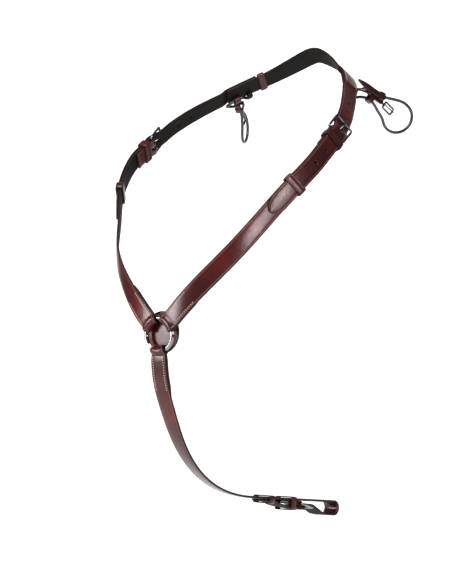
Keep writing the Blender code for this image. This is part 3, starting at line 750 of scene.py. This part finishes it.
def addLacetCords():
    points = [onLacet(back, up, 0.0045) for back, up in lacet["point"]]
    middle, halves = denser(points, lacet["pointHalves"], 26)
    bm = smallStrap(middle, halves, lacet["out"], lacet["thick"])
    ends = addPair("lacetPoint", bm, strapMaterials, "lacet_SIDE", "lacet_point_SIDE")
    path = lacetCordPath(110)
    bm = tubeSkin(path, lacet["cordRadius"], 16, -lacet["out"], groove=0.16)
    cords = addPair("lacetCord", bm, [cordLeather], "lacet_SIDE", "lacet_cord_SIDE")


addLacetCords()


# Steel ring and the disc behind it
ring = {"radius": 0.022, "wire": 0.003}
disc = {"radius": 0.028, "thick": 0.003, "front": 0.0083, "rise": 0.003, "aside": -0.0025}


def revolve(bm):  # about the ring's own axis
    bmesh.ops.spin(bm, geom=list(bm.verts) + list(bm.edges), cent=(0, 0, 0), axis=(0, 1, 0),
                   angle=2 * math.pi, steps=96, use_merge=True)
    bmesh.ops.remove_doubles(bm, verts=list(bm.verts), dist=1e-6)


def addRing():
    bm = bmesh.new()
    made = bmesh.ops.create_circle(bm, segments=24, radius=ring["wire"])["verts"]
    for vertex in made:
        vertex.co = Vector((vertex.co.x + ring["radius"], vertex.co.y, 0))
    revolve(bm)
    bmesh.ops.translate(bm, verts=list(bm.verts), vec=Vector(ringCentre))
    for face in bm.faces:
        face.smooth = True
    settleNormals(bm)
    addPiece("chestRing", bm, [steel], "ring", "chest_ring")


def addDisc():
    back = disc["front"] + disc["thick"]
    front = disc["front"]
    rim = disc["radius"]
    profile = [(0, back), (rim * 0.6, back), (rim - 0.001, back), (rim, back - 0.0008), (rim, front + 0.0012),
               (rim - 0.0005, front + 0.0004), (rim - 0.0013, front + 0.0001), (rim - 0.0022, front + 0.0002),
               (rim - 0.0026, front + 0.0007), (rim - 0.0031, front + 0.0001), (rim - 0.006, front - 0.0003),
               (rim * 0.45, front - 0.0005), (0, front - 0.0006)]
    bm = bmesh.new()
    chain = [bm.verts.new((x, y, 0)) for x, y in profile]
    for first, second in zip(chain, chain[1:]):
        bm.edges.new((first, second))
    revolve(bm)
    layer = bm.loops.layers.uv.new("UVMap")
    for face in bm.faces:
        face.smooth = True
        centre = face.calc_center_median()
        reach = math.hypot(centre.x, centre.z)
        face.material_index = 1 if reach > rim - 0.0007 else (2 if centre.y > back - 0.0005 else 0)
        for corner in face.loops:
            spot = corner.vert.co
            # the radius as the second coordinate gives the disc the face material's darker edge band and
            # painted crease highlight
            corner[layer].uv = (spot.x, min(math.hypot(spot.x, spot.z) * 0.45, 0.0125))
    centre = Vector(ringCentre) + Vector((disc["aside"], 0, disc["rise"]))
    bmesh.ops.translate(bm, verts=list(bm.verts), vec=centre)
    settleNormals(bm)
    addPiece("backingDisc", bm, strapMaterials, "harness", "backing_disc")


addRing()
addDisc()
print("ring and disc made")


# Buckles
buckle = {
    "length": 0.025,
    "half": 0.0155,
    "rise": 0.0045,
    "wire": 0.0017,
    "corner": 0.0025,
    "eye": 0.00325,
    "reach": 0.0295,
    "tongueWire": 0.0012,
    "gap": 0.0003,
}
shoulderBuckle = {"pivot": 0.361, "out": -0.0017}
girthBuckle = {"pivot": 0.420, "out": 0.006}


def roundedFrame(length, half, rise, corner, cornerSteps=7, runSteps=9):
    points = []
    corners = ((0, -1, 180), (0, 1, 90), (length, 1, 0), (length, -1, -90))
    for along, hand, start in corners:
        centreAlong = along + (corner if along == 0 else -corner)
        centreAcross = hand * (half - corner)
        for degrees in np.linspace(start + 90, start, cornerSteps):
            turn = math.radians(degrees)
            t = centreAlong + corner * math.cos(turn)
            points.append((t, centreAcross + corner * math.sin(turn), rise * t / length))
    points = np.array(points)
    filled = []
    for i in range(len(points)):
        following = points[(i + 1) % len(points)]
        gap = np.linalg.norm(following - points[i])
        count = runSteps if gap > 0.004 else 1
        for k in range(count):
            filled.append(points[i] + (following - points[i]) * k / count)
    return filled


def frameSkin(place, style, rise):
    points = roundedFrame(style["length"], style["half"], rise, style["corner"])
    outline = [place(t, a, n) for t, a, n in points]
    return tubeSkin(outline, style["wire"], 16, place(0, 0, 0.01) - place(0, 0, 0), loop=True)


def tonguePath(eye, reach, rise):
    path = []
    for degrees in range(-25, -291, -10):
        turn = math.radians(degrees)
        path.append((eye * math.cos(turn), eye * math.sin(turn)))
    bends = ((0.17, 0.42), (0.30, 0.54), (0.43, 0.74), (0.58, 0.91), (0.75, 0.99), (0.9, 1.0), (1, 0.97))
    for part, height in bends:
        path.append((reach * part, rise * height))
    return path


def tongueSkin(place, style, rise):
    wire = style["tongueWire"]
    path = [place(t, 0, n) for t, n in tonguePath(style["eye"], style["reach"], rise)]
    path = splineRows([(*point, 0, 0) for point in path], 90)[:, :3]
    radii = np.full(90, wire)
    radii[-6:] = wire * np.array([0.98, 0.92, 0.84, 0.72, 0.55, 0.3])
    radii[:3] = wire * np.array([0.6, 0.85, 0.97])
    return tubeSkin(path, radii, 14, place(0, 0.01, 0) - place(0, 0, 0))


def buckleParts(route, spot):
    def place(along, across, out):
        return flatPoint(route, spot["pivot"], along, across, spot["out"] + out)

    lift = buckle["rise"] + buckle["wire"] + buckle["tongueWire"] + buckle["gap"]
    return frameSkin(place, buckle, buckle["rise"]), tongueSkin(place, buckle, lift)


def addBuckles():
    shoulderFrame, shoulderTongue = buckleParts(shoulderRoute, shoulderBuckle)
    addPair("buckleFrame", shoulderFrame, [steel], "harness", "buckle_frame_SIDE")
    addPair("buckleTongue", shoulderTongue, [steel], "tongue_SIDE", "buckle_tongue_SIDE")
    girthFrame, tongue = buckleParts(girthRoute, girthBuckle)
    addPiece("buckleFrameGirth", girthFrame, [steel], "girth", "buckle_frame_girth")
    addPiece("buckleTongueGirth", tongue, [steel], "tongue_girth", "buckle_tongue_girth")


addBuckles()
print("buckles made")

# Leather straps
strap = {"half": 0.013, "thick": 0.003, "step": 0.0034, "foldHalf": 0.0125, "foldTurn": 0.005, "tail": 0.060}
strapTip = {
    "along": np.array([0, 0.0008, 0.002, 0.0035, 0.0055, 0.008, 0.011, 0.0145, 0.018]),
    "part": np.array([0.10, 0.26, 0.40, 0.53, 0.66, 0.79, 0.90, 0.97, 1.0]),
}


def buckleRun(base):  # how a strap rides over the bar and under the frame, from the pivot
    return [(-0.009, base), (-0.005, 0.0062), (0.0, 0.0071), (0.0055, 0.0062),
            (0.011, 0.0038), (0.016, 0.0018), (0.0205, 0.0009), (0.0295, 0.0009)]


def addShoulderStraps():
    half, step, route = strap["half"], strap["step"], shoulderRoute
    pivot, pivotOut, turn = shoulderBuckle["pivot"], shoulderBuckle["out"], 0.0037
    rows = ringFold(route, strap, 45)
    rows.append(even(route, 0.017, pivot - 0.010, 0, half))
    top = [(pivot - 0.009, 0), (pivot - 0.0075, 0), (pivot - 0.001, pivotOut + turn)]
    under = [(pivot - 0.009, -step), (pivot - 0.0075, -step), (pivot - 0.001, pivotOut - turn)]
    rows += barFold(route, pivot, pivotOut, turn, half, top, under)
    rows.append(even(route, pivot - 0.010, 0.322, -step, half))
    slot = cutterBox(route, pivot + 0.001, pivotOut, 0.0066, 0.0024, 0.008, False)
    bm = strapSkin(rows, half, strap["thick"])
    addPair("shoulderStrap", bm, strapMaterials, "harness", "shoulder_strap_SIDE", tools=[slot])


billet = {"tip": 0.201, "end": 0.554, "out": 0.0033, "holeRadius": 0.0019, "spacing": 0.0245}


def addBillets():
    half, route = strap["half"], shoulderRoute
    pivot, pivotOut = shoulderBuckle["pivot"], shoulderBuckle["out"]
    tip, end, out = billet["tip"], billet["end"], billet["out"]
    ats = np.concatenate([tip + strapTip["along"], steps(tip + 0.021, pivot - 0.016, 0.004),
                          steps(pivot - 0.014, pivot + 0.032, 0.0016), steps(pivot + 0.036, 0.490, 0.004),
                          steps(0.492, 0.512, 0.002), steps(0.515, end, 0.003)])
    halves = np.full(len(ats), half)
    halves[:len(strapTip["part"])] *= strapTip["part"]
    stations = [(tip - 0.01, out)] + [(pivot + t, pivotOut + n) for t, n in buckleRun(out - pivotOut)]
    stations += [(0.404, 0), (0.494, 0), (0.4985, 0.0009), (0.504, 0.0030), (0.507, out), (end + 0.01, out)]
    rows = [flatLayer(route, ats, softProfile(stations, ats, 0.0025), halves)]
    tools = [tongueSlot(route, pivot, 0.002)]
    for i in (3, 2, 1, -2, -3):  # holes in front of the buckle, then the ones behind it
        tools.append(roundHole(route, pivot + 0.0065 - billet["spacing"] * i, out if i > 0 else 0.0))
    bm = strapSkin(rows, half, strap["thick"])
    addPair("billet", bm, strapMaterials, "harness", "billet_SIDE", tools=tools)


def addWitherStrap():
    length = shoulderRoute["at"][-1]
    rows = [even(shoulderRoute, 0.505, length - 0.505, 0, strap["half"], 0.003)]
    bm = strapSkin(rows, strap["half"], strap["thick"])
    addPiece("witherStrap", bm, strapMaterials, "harness", "wither_strap")


addShoulderStraps()
addBillets()
addWitherStrap()
print("neck straps made")

girth = {
    "half": 0.0125,
    "foldHalf": 0.011,
    "foldTurn": 0.0058,
    "tail": 0.062,
    "turnAt": 0.505,
    "loop": 0.0095,
    "tip": 0.325,
}


def addGirthStrap():
    half, route = girth["half"], girthRoute
    pivot, pivotOut = girthBuckle["pivot"], girthBuckle["out"]
    rows = ringFold(route, girth, 270)
    rows.append(even(route, 0.017, girth["turnAt"], 0, half))
    turn = np.radians(np.linspace(12, 180, 15))
    ats = girth["turnAt"] + girth["loop"] * np.sin(turn)
    rows.append(flatLayer(route, ats, girth["loop"] * (1 - np.cos(turn)), np.full(15, half)))
    stations = [(0.505, 0.0190), (0.490, 0.0190), (0.475, 0.0175), (0.462, 0.0120)]
    stations += [(pivot + t, pivotOut + n) for t, n in buckleRun(0.0058)]
    stations += [(0.398, 0.0112), (0.386, 0.0100), (0.376, 0.0086), (0.370, 0.0080), (0.364, 0.0056)]
    stations += [(0.357, 0.0036), (0.349, billet["out"]), (0.320, billet["out"])]
    back = np.concatenate([steps(0.503, 0.346, 0.0025), girth["tip"] + strapTip["along"][::-1]])
    halves = np.full(len(back), half)
    halves[-len(strapTip["part"]):] *= strapTip["part"][::-1]
    rows.append(flatLayer(route, back, softProfile(stations, back, 0.003), halves))
    tools = [tongueSlot(route, pivot, pivotOut + 0.0043)]
    for at, height in ((0.3785, 0.0089), (0.4835, 0.0186)):
        tools.append(roundHole(route, at, height))
    bm = strapSkin(rows, half, strap["thick"])
    addPiece("girthStrap", bm, strapMaterials, "girth", "girth_strap", tools=tools)


def addGirthChape():
    half, route = girth["half"], girthRoute
    pivot, pivotOut, turn = girthBuckle["pivot"], girthBuckle["out"], 0.0031
    low, high = 0.0028, 0.0051
    top = [(pivot - 0.011, high), (pivot - 0.009, high), (pivot - 0.001, pivotOut + turn)]
    under = [(pivot - 0.011, low), (pivot - 0.001, pivotOut - turn)]
    rows = [even(route, 0.374, pivot - 0.011, high, half)]
    rows += barFold(route, pivot, pivotOut, turn, half, top, under)
    rows.append(even(route, pivot - 0.011, 0.374, low, half))
    slot = cutterBox(route, pivot, pivotOut, 0.0062, 0.0024, 0.006, False)
    addPiece("girthChape", strapSkin(rows, half, 0.002), strapMaterials, "girth", "girth_chape", tools=[slot])


addGirthStrap()
addGirthChape()
print("girth strap made")

# Keepers
keeper = {
    "wall": 0.0016,
    "corner": 0.0016,
    "fixed": (0.3455, 0.0137, -0.0054, 0.0053, 0.012, 0),  # place, inside half, low, high, length, across
    "running": (0.251, 0.0139, -0.0022, 0.0056, 0.012, 0),
    "wither": (0.5615, 0.0136, -0.0020, 0.0021, 0.010, 0),
    "lacetTab": (0.516, 0.0028, -0.0090, -0.0034, 0.010, -0.007),
    "fixedGirth": (0.400, 0.0132, -0.0020, 0.0140, 0.012, 0),
    "runningGirth": (0.348, 0.0134, -0.0022, 0.0058, 0.012, 0),
}


def boxOutline(half, low, high, corner, centre=0.0):
    outline = []
    corners = ((half - corner, high - corner, 0), (corner - half, high - corner, 90),
               (corner - half, low + corner, 180), (half - corner, low + corner, 270))
    for across, out, start in corners:
        for degrees in np.linspace(start, start + 90, 6):
            turn = math.radians(degrees)
            direction = (math.cos(turn), math.sin(turn))
            outline.append((centre + across + corner * direction[0], out + corner * direction[1], *direction))
    filled = []
    for i, first in enumerate(outline):
        second = outline[(i + 1) % len(outline)]
        gap = math.hypot(second[0] - first[0], second[1] - first[1])
        count = max(1, round(gap / 0.003))
        for k in range(count):
            filled.append(tuple(a + (b - a) * k / count for a, b in zip(first, second)))
    return filled


def keeperSkin(outline, length, wall, place):  # creased band swept round the outline
    half = length / 2
    section = [(-half, 0.2), (-half + 0.0002, 0.42), (-half + 0.0006, 0.5), (-half + 0.0014, 0.5)]
    section += [(-half + 0.0018, 0.40), (-half + 0.0022, 0.5), (0.0, 0.58)]
    section += [(-t, n) for t, n in reversed(section[:-1])]
    frontCount = len(section)
    section += [(half, -0.3), (half - 0.0005, -0.5), (0.0, -0.5), (-half + 0.0005, -0.5), (-half, -0.3)]
    kinds = []
    for i in range(len(section)):
        edge = abs(section[i][0]) > half - 0.0005 and abs(section[(i + 1) % len(section)][0]) > half - 0.0007
        kinds.append(1 if edge else (0 if i < frontCount - 1 else 2))
    points = []
    for across, out, sideways, outward in outline:
        points.append([place(t, across + sideways * n * wall, out + outward * n * wall) for t, n in section])
    points = np.array(points)
    around = [t for t, _ in section] + [section[0][0]]
    length = np.linspace(0, 0.06, len(outline) + 1)
    return skinGrid(points, kinds, length, around, loop=True)


def keeperBand(route, kind):
    at, half, low, high, length, centre = keeper[kind]
    wall = keeper["wall"]
    outline = boxOutline(half + wall / 2, low - wall / 2, high + wall / 2, keeper["corner"], centre)

    def place(along, across, out):
        return flatPoint(route, at, along, across, out)

    return keeperSkin(outline, length, wall, place)


def addKeepers():
    pairs = [
        ("fixedKeeper", "fixed", "harness", "fixed_keeper_SIDE"),
        ("runningKeeper", "running", "keeper_SIDE", "running_keeper_SIDE"),
        ("witherKeeper", "wither", "harness", "wither_keeper_SIDE"),
        ("lacetTab", "lacetTab", "harness", "lacet_tab_SIDE"),
    ]
    for name, kind, body, node in pairs:
        addPair(name, keeperBand(shoulderRoute, kind), strapMaterials, body, node)
    fixed = keeperBand(girthRoute, "fixedGirth")
    addPiece("fixedKeeperGirth", fixed, strapMaterials, "girth", "fixed_keeper_girth")
    running = keeperBand(girthRoute, "runningGirth")
    addPiece("runningKeeperGirth", running, strapMaterials, "keeper_girth", "running_keeper_girth")


addKeepers()
print("keepers made")


lacetKeeper = {"length": 0.008, "wall": 0.0012, "corner": 0.001}
lacetBuckle = {
    "base": (0.0508, -0.0027),
    "turn": -38,
    "length": 0.0165,
    "half": 0.0052,
    "wire": 0.0014,
    "corner": 0.0018,
    "eye": 0.0024,
    "reach": 0.0190,
    "lift": 0.0026,
    "tongueWire": 0.0009,
}


def lacetPlace(centre, angle):
    turn = math.radians(angle)

    def place(along, across, out):
        back = centre[0] + along * math.cos(turn) - across * math.sin(turn)
        up = centre[1] + along * math.sin(turn) + across * math.cos(turn)
        return onLacet(back, up, out)

    return place


def lacetBand(half, low, high, centre, angle):
    outline = boxOutline(half, low, high, lacetKeeper["corner"])
    return keeperSkin(outline, lacetKeeper["length"], lacetKeeper["wall"], lacetPlace(centre, angle))


def addLacetFittings():
    points = underBillet([(0.536, -0.006, -0.0050), (0.538, -0.014, -0.0048)])
    points += [onLacet(*row) for row in lacet["chape"]]
    middle, _ = denser(points, [0.004] * len(points), 40)
    blend = np.clip(np.linspace(0, 1.6, 40), 0, 1)[:, None]
    facing = framesAt(shoulderRoute, [0.537])[0, 2] * (1 - blend) + lacet["out"] * blend
    widths = [lacet["half"], lacet["half"], 0.0036, 0.0028]
    halves = np.interp(np.linspace(0, 1, 40), [0, 0.8, 0.93, 1], widths)
    chape = smallStrap(middle, halves, facing, lacet["thick"])
    lower = lacetBand(0.0080, -0.0078, 0.0023, (0.0302, 0.0069), -35)
    upper = lacetBand(0.0052, 0.0022, 0.0068, (0.0433, 0.0084), -22)
    addPair("lacetChape", chape, strapMaterials, "lacet_SIDE", "lacet_chape_SIDE")
    addPair("lacetKeeperLower", lower, strapMaterials, "lacet_SIDE", "lacet_keeper_lower_SIDE")
    addPair("lacetKeeperUpper", upper, strapMaterials, "lacet_SIDE", "lacet_keeper_upper_SIDE")
    place = lacetPlace(lacetBuckle["base"], lacetBuckle["turn"])
    flatFrame = frameSkin(place, lacetBuckle, 0.0)
    addPair("lacetFrame", flatFrame, [darkSteel], "lacet_SIDE", "lacet_frame_SIDE")
    tongue = tongueSkin(place, lacetBuckle, lacetBuckle["lift"])
    body = "lacet_tongue_body_SIDE"
    addPair("lacetTongue", tongue, [darkSteel], body, "lacet_tongue_SIDE")


addLacetFittings()
print("lacet fittings made")

# Stitching
stitch = {"pitch": 0.0033, "half": 0.0009, "radius": 0.00050, "inset": 0.0040, "lift": 0.00175}


def addStitches(bm, centres, directions, outs):
    for centre, direction, out in zip(centres, directions, outs):
        shape = Matrix.Identity(4)
        wide = np.cross(out, direction) * stitch["radius"] * 1.3
        axes = (direction * stitch["half"], wide, out * stitch["radius"])
        for i in range(3):
            for j in range(3):
                shape[j][i] = axes[i][j]
            shape[i][3] = centre[i]
        bmesh.ops.create_icosphere(bm, subdivisions=1, radius=1, matrix=shape)


def sewnRows(bm, route, start, end, out, half):
    base = framesAt(route, np.arange(start, end, stitch["pitch"]))
    for hand in (-1, 1):
        across = hand * (half - stitch["inset"])
        centres = base[:, 0] + base[:, 3] * across + base[:, 2] * (out + stitch["lift"])
        addStitches(bm, centres, base[:, 1], base[:, 2])


def sewnEnd(bm, route, at, out, half):
    point, _, outward, across = framesAt(route, [at])[0]
    reach = half - stitch["inset"] - stitch["pitch"] / 2
    places = np.arange(-reach, reach + 0.0001, stitch["pitch"])
    centres = [point + across * place + outward * (out + stitch["lift"]) for place in places]
    addStitches(bm, centres, [across] * len(places), [outward] * len(places))


def addStitching():
    bm = bmesh.new()
    half = strap["half"]
    sewnRows(bm, shoulderRoute, 0.0085, 0.048, 0, half)
    sewnRows(bm, shoulderRoute, 0.512, 0.550, billet["out"], half)
    sewnEnd(bm, shoulderRoute, 0.551, billet["out"], half)
    sewnEnd(bm, shoulderRoute, 0.510, billet["out"], half)
    addPair("stitching", bm, [thread], "harness")
    bm = bmesh.new()
    sewnRows(bm, girthRoute, 0.0085, 0.054, 0, girth["half"])
    addPiece("stitchingGirth", bm, [thread], "girth")


addStitching()
print("stitching made")

# Studio
studio = {
    "floor": -0.85,
    "near": 2.2,
    "far": 3.0,
    "bend": 0.9,
    "height": 1.0,
    "half": 1.7,
    "tones": [(0.3, (0.80, 0.80, 0.80)), (0.7, (0.84, 0.84, 0.84))],
    "glow": 0.55,
    "sky": 0.16,
    "aim": (0, -0.15, -0.25),
}


def addPanel(name, azimuth, elevation, distance, size, power):
    data = bpy.data.lights.new(name, "AREA")
    data.shape = "RECTANGLE"
    data.size, data.size_y = size
    data.energy = power
    turn, lift = math.radians(azimuth), math.radians(elevation)
    centre = Vector(studio["aim"])
    away = Vector((math.sin(turn) * math.cos(lift), -math.cos(turn) * math.cos(lift), math.sin(lift)))
    obj = linkedObject(name, data)
    obj.location = centre + away * distance
    obj.rotation_euler = away.to_track_quat("Z", "Y").to_euler()


def addSweep():  # pale floor that curves up behind
    low, bend, far = studio["floor"], studio["bend"], studio["far"]
    profile = [(-studio["near"], low), (far - bend, low)]
    for degrees in range(5, 91, 5):
        turn = math.radians(degrees)
        profile.append((far - bend + bend * math.sin(turn), low + bend - bend * math.cos(turn)))
    profile.append((far, studio["height"]))
    bm = bmesh.new()
    chain = [bm.verts.new((-studio["half"], y, z)) for y, z in profile]
    edges = [bm.edges.new(pair) for pair in zip(chain, chain[1:])]
    made = bmesh.ops.extrude_edge_only(bm, edges=edges)["geom"]
    bmesh.ops.translate(bm, verts=[item for item in made if isinstance(item, bmesh.types.BMVert)],
                        vec=(2 * studio["half"], 0, 0))
    bmesh.ops.rotate(bm, verts=list(bm.verts), cent=(0, 0, 0),
                     matrix=Matrix.Rotation(math.radians(camera["azimuth"]), 3, "Z"))
    for face in bm.faces:
        face.smooth = True
        if face.normal.z < 0:
            face.normal_flip()
    material, tree, shader = startMaterial("paleFloor")
    body = tree.nodes.new("ShaderNodeTexCoord").outputs["Object"]
    tone = addNoise(tree, body, 3, 3)
    feed(tree, shader, {
        "Base Color": addRamp(tree, tone, studio["tones"]),
        "Roughness": 0.9,
        "Emission Color": (1, 1, 1, 1),
        "Emission Strength": studio["glow"],
    })
    floor = meshObject("studioFloor", bm, [material])


def addStudio():
    addSweep()
    world = bpy.data.worlds.new("studioWorld")
    world.use_nodes = True
    background = world.node_tree.nodes["Background"]
    background.inputs["Color"].default_value = (1, 1, 1, 1)
    background.inputs["Strength"].default_value = studio["sky"]
    bpy.context.scene.world = world
    bpy.context.scene.view_settings.view_transform = "Standard"
    addPanel("keyPanel", 25, 62, 3.2, (1.8, 1.8), 120)
    addPanel("lowPanel", -31, 2, 2.6, (0.9, 0.7), 44)
    addPanel("sidePanel", 71, 4, 2.8, (0.35, 0.5), 24)


addStudio()
print("studio made")
